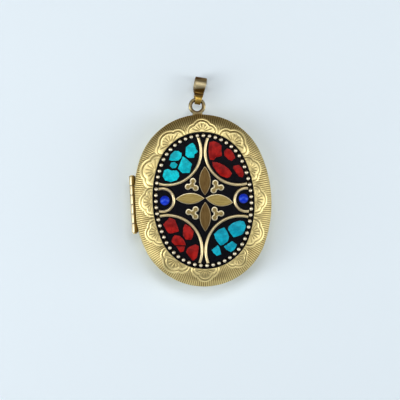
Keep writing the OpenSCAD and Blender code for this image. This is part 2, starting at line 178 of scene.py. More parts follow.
class Finish(Tree):
    """A material on a Principled shader. Constants go on the shader's own sockets."""

    def __init__(self, name, **constants):
        self.material = bpy.data.materials.new(name)
        super().__init__(self.material)
        self.shader = self.tree.nodes["Principled BSDF"]
        for socket, value in constants.items():
            self.shader.inputs[socket.replace("_", " ")].default_value = value
        self.place = self.node("ShaderNodeTexCoord", output="Object")

    def along(self, axis):
        """The place along an axis, in millimetres."""
        return self.node("ShaderNodeSeparateXYZ", {"Vector": self.place}, output=axis) * (1 / MM)

    def grain(self, scale, stretch=(1, 1, 1), detail=2.0, roughness=0.5):
        """Noise with about scale spots in a millimetre, drawn out along an axis by stretch."""
        size = [scale / MM / s for s in stretch]
        spot = self.node("ShaderNodeMapping", {"Vector": self.place, "Scale": size})
        return self.node("ShaderNodeTexNoise", {"Vector": spot, "Scale": 1.0, "Detail": detail,
                                                "Roughness": roughness})

    def attribute(self, name):
        return self.node("ShaderNodeAttribute", output="Fac", attribute_name=name)

    def feed(self, **sockets):
        for name, value in sockets.items():
            self.tree.links.new(value.socket, self.shader.inputs[name.replace("_", " ")])

    def bump(self, height, depth):
        """Small hollows and ridges, depth in millimetres."""
        self.feed(Normal=self.node("ShaderNodeBump", {"Height": height, "Distance": depth * MM,
                                                      "Strength": 1.0}, output="Normal"))


print("trees and finishes ready")

# %% [markdown]
# ## Brass that has been worn
# The brass of such a locket is pale gold where it is rubbed, and brown where polish never reaches.
# A mask decides between the two colours. Metal has no colour but its reflection's, so the tones
# are set by the base colour and by how rough the surface is. The roughness is given as a pair, for
# the rubbed parts and for the dull ones.

# %% Brass
GOLD = (0.90, 0.76, 0.38, 1)
PALE = (0.95, 0.87, 0.66, 1)
OLIVE = (0.58, 0.44, 0.16, 1)
TARNISH = (0.17, 0.095, 0.02, 1)
# Near black: dirt in the barrel's joints, and painted shade on the beads' undersides and necks.
SOOT_AND_SHADE = (0.035, 0.022, 0.010, 1)
FINE_GRAIN = 9


def brass(name, wear, bright=GOLD, dull=TARNISH, rough=(0.34, 0.5), bump=0.004):
    """Brass between dull and bright where wear, made from the new finish, is 0 and 1."""
    finish = Finish(name, Metallic=1.0)
    mask = wear(finish)
    finish.feed(Base_Color=finish.mix(mask, dull, bright),
                Roughness=rough[1] + mask * (rough[0] - rough[1]))
    finish.bump(finish.grain(FINE_GRAIN, detail=3), bump)
    return finish.material


print("brass ready, with grain of", FINE_GRAIN, "spots in a millimetre")

# %% [markdown]
# ## Where brass is worn
# On the stamped border and the beads the mask is stored on the mesh, because there only the ridges
# are rubbed. On the beads its dull side is painted shade, near black on their undersides and
# necks.
# The border's is made cloudy on top of that, since no hand rubs evenly. Sheet and wire have no
# ridges, so their mask is a soft noise.

# %% Worn masks and the brass finishes
BORDER_PATCHES = 0.25
PATCH_CONTRAST = 0.5


def stored_wear_and_shade(finish):
    return finish.attribute("rubbed")


def stamped_wear(finish):
    cloud = finish.grain(BORDER_PATCHES, detail=3)
    return (stored_wear_and_shade(finish) + (cloud - 0.5) * PATCH_CONTRAST).within()


def cloudy_wear(scale, detail, contrast, least):
    """A rule for a mask that is a noise alone, from least upwards."""
    return lambda finish: (finish.grain(scale, detail=detail) * contrast + least).within()


sheet_wear = cloudy_wear(scale=0.5, detail=4, contrast=0.9, least=0.35)
wire_wear = cloudy_wear(scale=1.2, detail=3, contrast=0.5, least=0.6)

stamped_brass = brass("stamped_brass", stamped_wear, bright=(0.92, 0.78, 0.37, 1),
                      dull=(0.20, 0.13, 0.03, 1), rough=(0.42, 0.5))
plain_brass = brass("plain_brass", sheet_wear, dull=OLIVE)
wire_brass = brass("wire_brass", wire_wear, bright=(0.80, 0.67, 0.40, 1), dull=OLIVE,
                   rough=(0.36, 0.46), bump=0.006)
# The beads' dull colour is painted shade on their undersides and necks; their tops are rubbed
# pale.
bead_brass_painted_shade = brass("bead_brass_painted_shade", stored_wear_and_shade, bright=PALE, dull=SOOT_AND_SHADE, rough=(0.34, 0.6),
                   bump=0.002)
pin_brass = brass("pin_brass", sheet_wear, bright=OLIVE, dull=TARNISH)
print("five brass finishes ready")

# %% [markdown]
# ## Brushed sheet
# The petals are cut from sheet that was brushed along their length, and the trefoils are too small
# to show any streaks. On the photograph the two upright petals look darker than the two level
# ones, because brushed metal reflects the light along its streaks. So each pair has its own
# browns:
# painted shade on the upright pair and painted light on the level pair. Streaks are a noise that
# is drawn out along the brushing. The raised edge is paler, where the mesh says so. Its paleness
# is partly rubbing and partly painted highlight, and it is painted darker on the upright pair.

# %% Brushed sheet
STREAK_LENGTH = 14
STREAK_EDGES, STREAK_DEPTH = (0.3, 0.7), 0.002
FACE_ROUGH, EDGE_POLISH = 0.5, 0.1


def sheet_brass(name, stretch, bright, dull, edge_colour):
    finish = Finish(name, Metallic=1.0)
    streaks = finish.grain(FINE_GRAIN, stretch=stretch, detail=3).ramp(*STREAK_EDGES)
    edge = finish.attribute("rubbed")
    finish.feed(Base_Color=finish.mix(edge, finish.mix(streaks, dull, bright), edge_colour),
                Roughness=FACE_ROUGH - edge * EDGE_POLISH)
    finish.bump(streaks, STREAK_DEPTH)
    return finish.material


# The upright petals' browns and edge colour are painted shade.
upright_petal_brass_painted_shade = sheet_brass(
    "upright_petal_brass_painted_shade", stretch=(1, STREAK_LENGTH, 1), bright=(0.21, 0.13, 0.046, 1),
    dull=(0.135, 0.08, 0.026, 1), edge_colour=(0.42, 0.33, 0.18, 1))
# The level petals' browns and edge colour are painted light.
level_petal_brass_painted_light = sheet_brass(
    "level_petal_brass_painted_light", stretch=(STREAK_LENGTH, 1, 1), bright=(0.48, 0.37, 0.13, 1),
    dull=(0.33, 0.24, 0.07, 1), edge_colour=(0.80, 0.70, 0.44, 1))
# The trefoils' pale edge colour is partly painted highlight.
trefoil_brass = sheet_brass(
    "trefoil_brass", stretch=(1, 1, 1), bright=(0.44, 0.34, 0.14, 1),
    dull=(0.28, 0.20, 0.07, 1), edge_colour=(0.86, 0.77, 0.52, 1))
print("three sheet finishes ready")

# %% [markdown]
# ## Stone
# The chips are broken stone that was ground level with the resin, so each has cloudy colour, a
# few darker veins and a dull polish. The veins are the thin middle band of a noise. The two round
# lapis stones are polished instead, and reflect in their own blue.

# %% Stone finishes
STONE_IOR = 1.5
PATCH_EDGES, PATCH_ROUGH = (0.35, 0.65), 0.1
VEIN_GRAIN, VEIN_WIDTH, VEIN_SHADE = 0.55, 0.035, 0.3
PIT_GRAIN = 2.2


def stone(name, dark, light, rough=0.36, cloud=0.7, vein=0.35, gloss=0.16, tint=(1, 1, 1, 1),
          uneven=0.05):
    """Stone in two shades. cloud is the noise's scale and vein how strongly the veins show."""
    finish = Finish(name, IOR=STONE_IOR, Specular_IOR_Level=gloss, Specular_Tint=tint)
    patches = finish.grain(cloud, detail=4).ramp(*PATCH_EDGES)
    lines = finish.grain(VEIN_GRAIN, detail=5, roughness=0.7)
    veins = 1 - (lines - 0.5).absolute().ramp(0.0, VEIN_WIDTH)
    vein_colour = [c * VEIN_SHADE for c in dark[:3]] + [1]
    finish.feed(
        Base_Color=finish.mix(veins * vein, finish.mix(patches, dark, light), vein_colour),
        Roughness=rough + patches * PATCH_ROUGH)
    finish.bump(finish.grain(PIT_GRAIN, detail=4), uneven)
    return finish.material


bright_turquoise = stone("bright_turquoise", (0.0, 0.42, 0.51, 1), (0.003, 0.70, 0.80, 1))
deep_turquoise = stone("deep_turquoise", (0.0, 0.30, 0.43, 1), (0.002, 0.48, 0.64, 1))
red_coral = stone("red_coral", (0.22, 0.002, 0.002, 1), (0.43, 0.009, 0.006, 1), vein=0.25)
lapis_blue = stone("lapis_blue", (0.0, 0.015, 0.50, 1), (0.0, 0.03, 0.66, 1), rough=0.3,
                   cloud=0.3, vein=0.0, gloss=1.0, tint=(0.3, 0.55, 1, 1), uneven=0.005)
print("four stones ready")

# %% [markdown]
# ## Resin
# The resin was poured round the stones and ground flat with them. It is black with a touch of
# blue. Its polish is a little uneven, so a noise changes the roughness from spot to spot.

# %% Resin finish
RESIN_BLACK, RESIN_SPECK = (0.001, 0.001, 0.002, 1), (0.004, 0.004, 0.010, 1)
RESIN_ROUGH, SPECK_ROUGH = 0.28, 0.15
SPECK_GRAIN, SPECK_EDGES = 3, (0.3, 0.9)
RESIN_WAVES, RESIN_WAVE_DEPTH = 1.5, 0.012

resin = Finish("black_resin", IOR=STONE_IOR, Specular_IOR_Level=0.12)
specks = resin.grain(SPECK_GRAIN, detail=3).ramp(*SPECK_EDGES)
resin.feed(Base_Color=resin.mix(specks, RESIN_BLACK, RESIN_SPECK),
           Roughness=RESIN_ROUGH + specks * SPECK_ROUGH)
resin.bump(resin.grain(RESIN_WAVES, detail=3), RESIN_WAVE_DEPTH)
black_resin = resin.material
print("resin ready")

# %% [markdown]
# ## The oval
# The locket's outline is four arcs that run into each other. Every line on the border lies at
# its own distance inside the rim, and all of them share the rim's directions. One function that
# gives, for a distance along the rim, the arc's centre, radius and direction is enough to place
# any of them.

# %% The rim's arcs
rim_low, rim_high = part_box("front_shell")
HALF_W = min(rim_high.x, -rim_low.x) / MM
HALF_L = min(rim_high.y, -rim_low.y) / MM
END_ARC_SHARE = 0.94
END_R = END_ARC_SHARE * HALF_W
SIDE_R = (HALF_W ** 2 + HALF_L ** 2 - 2 * HALF_L * END_R) / (2 * (HALF_W - END_R))
SIDE_X = SIDE_R - HALF_W
END_Y = HALF_L - END_R
JOIN = math.atan2(END_Y, SIDE_X)


def arc_lengths(line):
    """Lengths of a side arc and an end arc of the oval that lies line inside the rim."""
    return (SIDE_R - line) * 2 * JOIN, (END_R - line) * (math.pi - 2 * JOIN)


def on_oval(along, inset, line=0.0):
    """Places that lie inset from the rim, and the outward directions there. The distances along
    are measured on the oval that lies line inside the rim."""
    side, end = arc_lengths(line)
    sign = np.where(np.mod(along, 2 * (side + end)) < side + end, 1.0, -1.0)
    u = np.mod(along, side + end)
    on_side = u < side
    angle = np.where(on_side, u / (SIDE_R - line) - JOIN, (u - side) / (END_R - line) + JOIN)
    centre = np.stack([np.where(on_side, -SIDE_X, 0), np.where(on_side, 0, END_Y)], 1)
    heading = np.stack([np.cos(angle), np.sin(angle)], 1) * sign[:, None]
    radius = np.where(on_side, SIDE_R, END_R) - inset
    return centre * sign[:, None] + heading * radius[:, None], heading


RIM_LENGTH = 2 * sum(arc_lengths(0.0))
print("rim", round(RIM_LENGTH, 1), "mm round")

# %% [markdown]
# ## Where the stamped fans stand
# Twelve fans stand round the inlay with their backs to it. The die was cut by hand, so they
# aren't evenly spaced or equally large. Each is given by the tip of its outer line, in pixels of
# the photograph, and by its width as a share of the usual one. Both were matched to the
# photograph. The nearest point of the rim gives a fan's direction, and its foot is on the inlay's
# edge. The distance of the tip from the foot, over that of a usual fan, tells how tall it is.

# %% Fans
BORDER = 4.55
FAN_HEIGHT = 3.74
RIM_STEP = 0.05
FANS = [(200.8, 118.9, 0.88), (240.6, 132.7, 1.04), (259.6, 165.8, 0.80), (265.8, 199.3, 0.88),
        (262.4, 236.1, 0.88), (242.8, 265.3, 0.72), (204.3, 280.9, 0.80), (167.0, 269.7, 0.96),
        (145.2, 236.3, 0.80), (138.7, 202.6, 0.88), (140.0, 167.8, 1.04), (161.1, 134.3, 1.04)]


def from_picture(x, y):
    """A place on the picture, as a place on the locket in millimetres."""
    u, v = (x - BODY_PX[0]) * PX / MM, (BODY_PX[1] - y) * PX / MM
    return np.array([u * math.cos(TURN) + v * math.sin(TURN),
                     v * math.cos(TURN) - u * math.sin(TURN)])


steps = np.arange(0, RIM_LENGTH, RIM_STEP)
rim_line, rim_heading = on_oval(steps, np.zeros(len(steps)))
fans = []
for x, y, wide in FANS:
    tip = from_picture(x, y)
    near = np.argmin(np.linalg.norm(rim_line - tip, axis=1))
    foot = rim_line[near] - rim_heading[near] * BORDER
    fans.append((foot, rim_heading[near], (tip - foot) @ rim_heading[near] / FAN_HEIGHT, wide))
print(len(fans), "fans, heights", [round(float(tall), 2) for _, _, tall, _ in fans])

# %% [markdown]
# ## The outline of a fan
# A fan's outline is the edge of three circles taken together, a large one for the middle lobe and
# a small one for each shoulder. Each is given by its place aside and out from the fan's foot, and
# its radius. The distance from that edge, less than zero inside it, is all that the raised lines
# need.

# %% Distance from the fans
LOBES = [(0.0, 0.75, 2.25), (-2.25, 0.3, 1.3), (2.25, 0.3, 1.3)]
FAR_OFF = 1e3


def fan_edge(spots):
    """The distance of each spot from the nearest fan's edge, and its place in that fan."""
    edge = np.full(len(spots), FAR_OFF)
    reach, spread = np.zeros(len(spots)), np.zeros(len(spots))
    for foot, heading, tall, wide in fans:
        out = (spots - foot) @ heading / tall
        aside = (spots - foot) @ np.array([-heading[1], heading[0]]) / wide
        own = np.min([np.hypot(aside - a, out - o) - r for a, o, r in LOBES], axis=0)
        nearer = own < edge
        edge = np.where(nearer, own, edge)
        reach = np.where(nearer, np.hypot(aside, out), reach)
        spread = np.where(nearer, np.arctan2(aside, out), spread)
    return edge, reach, spread


print(len(LOBES), "lobes in a fan")

# %% [markdown]
# ## The height of the stamped relief
# A stamp is a height at each place of the sheet. Two raised lines follow a fan's edge, with a
# ditch between them. Short flutes open from the fan's foot inside it, and fine rays cover
# everything outside. Every form is a number from 0 to 1. One table says how far it lifts or sinks
# the sheet, and a second one how much more or less than the flat parts it is rubbed.

# %% Relief
INNER_LINE, OUTER_LINE, LINE_WIDTH = -0.1, 0.74, 0.17
DITCH, GROOVE_WIDTH = 0.33, 0.13
FLUTES = [math.radians(a) for a in (-72, -48, -24, 0, 24, 48, 72)]
FLUTE_START, FLUTE_END = (0.5, 1.0), (0.3, 0.6)
RAYS = 228
RAY_START = (OUTER_LINE + 0.12, OUTER_LINE + 0.4)
LIFT = {"lines": 0.075, "ditch": -0.05, "flute": -0.075, "rays": -0.07}
WORN = {"lines": 0.3, "ditch": -0.66, "flute": -0.62, "rays": -0.7}
FLAT_WORN = 0.78


def bell(x, width):
    return np.exp(-(x / width) ** 2)


def rise(x, low, high):
    x = np.clip((x - low) / (high - low), 0, 1)
    return x * x * (3 - 2 * x)


def relief(spots, along):
    """Height of the stamp at each spot, in millimetres, and how much it is rubbed, 0 to 1."""
    edge, reach, spread = fan_edge(spots)
    flute = sum(bell((spread - a) * reach, GROOVE_WIDTH) for a in FLUTES)
    ray = 0.5 - 0.5 * np.cos(along / RIM_LENGTH * RAYS * 2 * math.pi)
    forms = {
        "lines": bell(edge - INNER_LINE, LINE_WIDTH) + bell(edge - OUTER_LINE, LINE_WIDTH),
        "ditch": bell(edge - DITCH, GROOVE_WIDTH),
        "flute": flute * rise(reach, *FLUTE_START) * rise(-edge, *FLUTE_END),
        "rays": ray * rise(edge, *RAY_START)}
    height = sum(LIFT[name] * form for name, form in forms.items())
    rubbed = sum((WORN[name] * form for name, form in forms.items()), FLAT_WORN)
    return height, rubbed


print(len(LIFT), "forms in the relief,", RAYS, "rays")

# %% [markdown]
# ## A piece from a bmesh
# Every new piece is shaped in millimetres, scaled to metres at the end, and then told which part
# of the locket it moves with and which finish it wears. Edges sharper than an angle stay crisp. A
# copy of a CAD solid still holds the imported normals, which don't suit its new faces, so they go.
# Where only some parts of a piece are rubbed bright, a rule says so for each of its points. On the
# beads and the struck pieces the same rule also places painted shade and painted highlight.

# %% Make a piece
def make_piece(name, bm, body, finish, crisp):
    """An object from the bmesh. Its edges stay sharp where they bend more than crisp degrees."""
    bmesh.ops.scale(bm, vec=(MM, MM, MM), verts=bm.verts)
    mesh = bpy.data.meshes.new(name)
    bm.to_mesh(mesh)
    bm.free()
    imported = mesh.attributes.get("custom_normal")
    if imported:
        mesh.attributes.remove(imported)
    mesh.shade_smooth()
    mesh.set_sharp_from_angle(angle=math.radians(crisp))
    mesh.materials.append(finish)
    piece = bpy.data.objects.new(name, mesh)
    bpy.context.scene.collection.objects.link(piece)
    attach(piece, body)
    print(name, len(mesh.polygons), "faces")
    return piece


def store_wear_and_painted_light(bm, rule):
    """Keeps how much each point is rubbed, 0 to 1, for the finish; it also places painted light
    and shade.
    """
    wear_layer = bm.verts.layers.float.new("rubbed")
    for vert in bm.verts:
        vert[wear_layer] = rule(vert.co)


print("piece maker ready")

# %% [markdown]
# ## The section of the stamped lid
# The lid is one sheet: an upright wall at the rim, a rounded slope, and a lip turned down round
# the inlay. Its section is a list of points that runs up the outer side, round the lip and back
# underneath. Each point has its distance inside the rim, its height, how far the stamp reaches
# there, and how steep the slope is.

# %% Lid section
RIM_H, LID_H, SHEET, DISH = 1.3, 3.4, 0.4, 0.8
SLOPE_R = (BORDER ** 2 + (LID_H - RIM_H) ** 2) / (2 * (LID_H - RIM_H))
SLOPE_ROWS, UNDER_ROWS = 46, 8
WALL_SHARE = 0.55
RIM_REACH = 0.3
LIP_R, LIP_ANGLES = 0.16, (60, 30, 0)


def slope_point(inset, radius=SLOPE_R):
    """A point of the rounded slope, and its angle from level."""
    run = BORDER - inset
    return inset, LID_H - SLOPE_R + math.sqrt(radius ** 2 - run ** 2), math.asin(run / radius)


outer = [(0.0, 0.0, 0.0, math.pi / 2), (0.0, RIM_H * WALL_SHARE, 0.0, math.pi / 2)]
for i in range(SLOPE_ROWS + 1):
    inset, height, tilt = slope_point((BORDER - LIP_R) * i / SLOPE_ROWS)
    outer.append((inset, height, 1.0 if i else RIM_REACH, tilt))
for angle in LIP_ANGLES:
    a = math.radians(angle)
    outer.append((BORDER - LIP_R + LIP_R * math.cos(a), LID_H - LIP_R + LIP_R * math.sin(a), 0, 0))
lip_end = LID_H - DISH - SHEET
inner = [(BORDER, lip_end, 0, 0), (BORDER - SHEET, lip_end, 0, 0)]
for i in range(UNDER_ROWS + 1):
    inset = (BORDER - SHEET) + (2 * SHEET - BORDER) * i / UNDER_ROWS
    inset, height, _ = slope_point(inset, SLOPE_R - SHEET)
    inner.append((inset, height, 0, 0))
inner.append((SHEET, 0.0, 0, 0))
section = outer + inner
print(len(section), "points in the section")

# %% [markdown]
# ## Rolling the lid
# A flat grid is rolled up twice, once round the section and once round the oval, and its outer
# side is then raised and sunk by the relief. Spinning the section would do the same, but takes a
# minute with so many steps. The grid's edges meet after a full turn and are merged there.

# %% Roll a grid round the section and the oval
COLUMNS = RAYS * 6
LID_Z = rim_low.z / MM
UNSTAMPED_WORN = 0.55
MEETS_WITHIN = 1e-5


def rolled(section, columns, base_z, stamp):
    """A sheet whose section runs round the rim. stamp adds relief and a worn mask to it."""
    rows = len(section)
    bm = bmesh.new()
    bmesh.ops.create_grid(bm, x_segments=columns, y_segments=rows, size=0.5)
    spots = np.array([v.co for v in bm.verts])
    column = np.rint((spots[:, 0] + 0.5) * columns).astype(int) % columns
    row = np.rint((spots[:, 1] + 0.5) * rows).astype(int) % rows
    inset, height, reach, slope = np.array(section).T[:, row]
    along = column / columns * RIM_LENGTH
    place, heading = on_oval(along, inset)
    lift, rubbed = stamp(place, along)
    lift *= reach
    place += heading * (lift * np.sin(slope))[:, None]
    level = height + lift * np.cos(slope) + base_z
    rubbed = np.where(reach > 0, rubbed, UNSTAMPED_WORN)
    wear_layer = bm.verts.layers.float.new("rubbed")
    for vert, (x, y), z, worn in zip(bm.verts, place.tolist(), level.tolist(), rubbed.tolist()):
        vert.co = (x, y, z)
        vert[wear_layer] = worn
    bmesh.ops.remove_doubles(bm, verts=bm.verts, dist=MEETS_WITHIN)
    if bm.calc_volume(signed=True) < 0:
        bmesh.ops.reverse_faces(bm, faces=bm.faces)
    print(len(bm.faces), "faces, volume", round(bm.calc_volume()), "mm3")
    return bm


lid_border = make_piece("lid_border", rolled(section, COLUMNS, LID_Z, relief), "lid",
                        stamped_brass, crisp=50)

# %% [markdown]
# ## Shapes to cut with
# The lid's wall has to make way for the hinge's barrel. On the real sheet this is a row of filed
# notches, wider round the other half's knuckles, and a narrow flat beside them. Cylinders round
# the knuckles and a block have the same shapes. The barrel's size and place are read from the CAD
# model.

# %% Cutting shapes
barrel_low, barrel_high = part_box("case_knuckles")
BARREL_R = (barrel_high.z - barrel_low.z) / 2 / MM
HINGE_X = (barrel_high.x + barrel_low.x) / 2 / MM
HINGE_Z = (barrel_high.z + barrel_low.z) / 2 / MM
FIRST_KNUCKLE = barrel_high.y / MM
KNUCKLES, KNUCKLE, PITCH = 6, 2.35, 2.43
FLAT_ROOM = 0.1


def as_tool(name, tools):
    bmesh.ops.scale(tools, vec=(MM, MM, MM), verts=tools.verts)
    mesh = bpy.data.meshes.new(name)
    tools.to_mesh(mesh)
    tools.free()
    tool = bpy.data.objects.new(name, mesh)
    bpy.context.scene.collection.objects.link(tool)
    return tool


def notches(name, first, grow):
    """Cylinders round every second knuckle, larger than it by grow, to be cut out."""
    tools = bmesh.new()
    for i in range(first, KNUCKLES, 2):
        high = FIRST_KNUCKLE - i * PITCH + grow
        low, radius = high - KNUCKLE - 2 * grow, BARREL_R + grow
        turn = Matrix.Translation((HINGE_X, (low + high) / 2, HINGE_Z)) @ Matrix.Rotation(
            math.pi / 2, 4, "X")
        bmesh.ops.create_cone(tools, cap_ends=True, segments=48, radius1=radius, radius2=radius,
                              depth=high - low, matrix=turn)
    return as_tool(name, tools)


def flat(name, reach, height):
    """A block beside the rim, as long as the barrel. It reaches past the barrel's axis."""
    tools = bmesh.new()
    length = KNUCKLES * PITCH + 2 * FLAT_ROOM
    spot = (HINGE_X + reach - length / 2, FIRST_KNUCKLE + FLAT_ROOM - length / 2, LID_Z)
    bmesh.ops.create_cube(tools, matrix=Matrix.Translation(spot) @ Matrix.Diagonal(
        (length, length, 2 * height, 1)))
    return as_tool(name, tools)


print("barrel", round(2 * BARREL_R, 2), "mm across, with", KNUCKLES, "knuckles")

# %% [markdown]
# ## Cutting room for the hinge
# A Boolean modifier does the cutting, because a notch crosses many small faces of the relief at
# an angle. Its result is kept as the piece's own mesh, and the cutting shape is thrown away. The
# lid's own knuckles are soldered to it, so their notches are close.

# %% Cut the lid
def cut_out(piece, tool):
    cut = piece.modifiers.new("cut", "BOOLEAN")
    cut.object, cut.solver = tool, "MANIFOLD"
    bpy.context.view_layer.update()
    made = bpy.data.meshes.new_from_object(
        piece.evaluated_get(bpy.context.evaluated_depsgraph_get()))
    piece.modifiers.remove(cut)
    old, piece.data = piece.data, made
    made.name = old.name
    bpy.data.meshes.remove(old)
    bpy.data.objects.remove(tool)


cut_out(lid_border, notches("wide_notches", first=0, grow=0.15))
cut_out(lid_border, notches("close_notches", first=1, grow=0.02))
cut_out(lid_border, flat("barrel_flat", reach=0.35, height=2.0))
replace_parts(lid_border, "front_shell")
print("lid border", len(lid_border.data.polygons), "faces after the notches")

# %% [markdown]
# ## Copies of CAD solids
# Some pieces start from their CAD solid, because its outline is already right. The solid comes as
# loose triangles, so its points are merged and its flat faces made whole before anything is
# bevelled or drawn in. At the end faces of many sides are cut into triangles again, so that every
# program shows them alike.

# %% Copy and finish a solid
MERGED_WITHIN = 0.002
FLAT_WITHIN = math.radians(1)


def copy_of(node):
    """A bmesh of a CAD node in millimetres, merged and with its flat faces whole."""
    bm = bmesh.new()
    bm.from_mesh(nodes[node].data)
    bmesh.ops.scale(bm, vec=(1 / MM, 1 / MM, 1 / MM), verts=bm.verts)
    bmesh.ops.remove_doubles(bm, verts=bm.verts, dist=MERGED_WITHIN)
    bmesh.ops.dissolve_limit(bm, angle_limit=FLAT_WITHIN, verts=bm.verts, edges=bm.edges)
    return bm


def height_of(face):
    return face.calc_center_median().z


def top_of(bm, digits):
    """The highest face, and the largest of those that are equally high to so many digits."""
    return max(bm.faces, key=lambda f: (round(height_of(f), digits), f.calc_area()))


def rounded(bm, edges, width, segments=2, **settings):
    bmesh.ops.bevel(bm, geom=edges, offset=width, segments=segments, profile=0.5,
                    affect="EDGES", material=-1, **settings)


def cut_large_faces(bm):
    bmesh.ops.triangulate(bm, faces=[f for f in bm.faces if len(f.verts) > 4])


print("copies are merged within", MERGED_WITHIN, "mm")

# %% [markdown]
# ## A stone chip
# A chip is a flat broken stone with rounded upper edges. The long edges of its outline are divided
# and moved a little to and fro. It also grows a little all round, so that it still fills its
# pocket in the resin. Its upper edges are bevelled, and the top is drawn in and raised, unevenly,
# as grinding leaves it. The steps that break the outline come from a noise. It starts from the
# clock unless it is given a seed, so it gets one, and every run breaks the chips in the same way.

# %% Chips
CHIP_SEED = 3
BREAKS, BREAK_STEP = 1.7, 0.14
LONG_EDGE, LEVEL_WITHIN = 0.5, 0.1
CHIP_GROWTH, CHIP_BEVEL = 0.05, 0.08
DRAWN_IN, DRAWN_UP = (0.14, 0.2), 0.02
CLEAR_OF_RESIN = 0.02
WAVES, WAVE_HEIGHT = 0.9, 0.05

noise.seed_set(CHIP_SEED)
resin_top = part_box("resin_bed")[1].z / MM


def broken(spot):
    """A small step aside that only depends on where the spot is seen from above."""
    away = noise.noise_vector(Vector((spot.x, spot.y, 0)) * BREAKS)
    return Vector((away.x, away.y, 0)) * BREAK_STEP


def chip(node, finish):
    bm = copy_of(node)
    middle = sum((v.co for v in bm.verts), Vector()) / len(bm.verts)
    outline = [e for e in bm.edges if abs(e.verts[0].co.z - e.verts[1].co.z) < LEVEL_WITHIN]
    long = [e for e in outline if e.calc_length() > LONG_EDGE]
    bmesh.ops.subdivide_edges(bm, edges=long, cuts=2)
    for vert in bm.verts:
        out = Vector((vert.co.x - middle.x, vert.co.y - middle.y, 0))
        vert.co += out.normalized() * CHIP_GROWTH + broken(vert.co)
    rounded(bm, list(max(bm.faces, key=height_of).edges), CHIP_BEVEL)
    top = max(bm.faces, key=lambda f: (height_of(f), f.calc_area()))
    for thickness in DRAWN_IN:
        bmesh.ops.inset_region(bm, faces=[top], thickness=thickness, depth=DRAWN_UP)
        top = top_of(bm, digits=3)
    own = Vector((0, 0, len(bm.verts)))
    for vert in bm.verts:
        if vert.co.z > resin_top + CLEAR_OF_RESIN:
            vert.co.z += WAVE_HEIGHT * noise.noise(vert.co * WAVES + own)
    cut_large_faces(bm)
    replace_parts(make_piece("stone_" + node, bm, "lid", finish, crisp=60), node)


print("chips grow by", CHIP_GROWTH, "mm and are broken with seed", CHIP_SEED)

# %% [markdown]
# ## All the chips
# Each corner of the inlay has chips of one stone. The turquoise of the upper corner is a brighter
# one than that of the lower corner.

# %% Make the chips
STONES = {"turquoise_upper": ("bright_turquoise", bright_turquoise),
          "turquoise_lower": ("deep_turquoise", deep_turquoise),
          "coral": ("red_coral", red_coral)}
for name in sorted(nodes):
    for start, (slot, finish) in STONES.items():
        if name.startswith(start):
            chip(name, finish)

# %% [markdown]
# ## One bead of the beaded wire
# Beaded wire is rolled between grooved plates, which squeeze it into a row of beads with a thin
# neck between each two. The tops of the beads are rubbed pale, and their undersides and the necks
# are painted near black as painted shade, so the beads seem to stand apart. One sphere with its
# rod is made first. Its Z axis runs along the wire and its Y axis points up, so the rubbed upper
# side can be told from the shaded one before it is copied.

# %% One bead
BEADS, BEAD_LINE = 59, BORDER + 0.85
BEAD_R, NECK_R = 0.475, 0.13
NEAR_SKIN = (BEAD_R * 0.9, BEAD_R * 1.1)

bead_pitch = 2 * sum(arc_lengths(BEAD_LINE)) / BEADS
bead = bmesh.new()
bmesh.ops.create_uvsphere(bead, u_segments=24, v_segments=14, radius=BEAD_R)
bmesh.ops.create_cone(bead, segments=10, radius1=NECK_R, radius2=NECK_R, depth=bead_pitch,
                      matrix=Matrix.Translation((0, 0, bead_pitch / 2)))
# The upper side is marked rubbed; the rest of the bead and its neck get painted shade.
store_wear_and_painted_light(bead, lambda spot: float(NEAR_SKIN[0] < spot.length < NEAR_SKIN[1] and spot.y > 0))
one_bead = bpy.data.meshes.new("one_bead")
bead.to_mesh(one_bead)
bead.free()
print("a bead every", round(bead_pitch, 3), "mm")

# %% [markdown]
# ## The string of beads
# The bead is copied along an oval of its own, inside the border. Copying its mesh is much quicker
# than making the sphere again each time. Each copy is turned towards the next, so that its rod
# ends inside the next bead.

# %% String the beads
centres, _ = on_oval((np.arange(BEADS) + 0.5) * bead_pitch, BEAD_LINE, BEAD_LINE)
string = bmesh.new()
for here, there in zip(centres, np.roll(centres, -1, axis=0)):
    onwards = Vector((*(there - here), 0.0)).to_track_quat("Z", "Y").to_matrix().to_4x4()
    already = len(string.verts)
    string.from_mesh(one_bead)
    string.verts.ensure_lookup_table()
    bmesh.ops.transform(string, matrix=Matrix.Translation((*here, resin_top)) @ onwards,
                        verts=string.verts[already:])
bpy.data.meshes.remove(one_bead)
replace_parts(make_piece("bead_string", string, "lid", bead_brass_painted_shade, crisp=40),
            "beaded_wire")

# %% [markdown]
# ## A struck piece
# Petals and trefoils are struck from thin sheet, so each has a raised edge round a sunken face.
# The outline is taken from the CAD solid's flat underside, raised to the solid's height, and inset
# twice: once for the width of the edge and once more for the step down. The edge is rubbed pale,
# and its paleness is partly painted highlight.

# %% Struck pieces
STRUCK_BEVEL, STEP_WIDTH = 0.05, 0.05


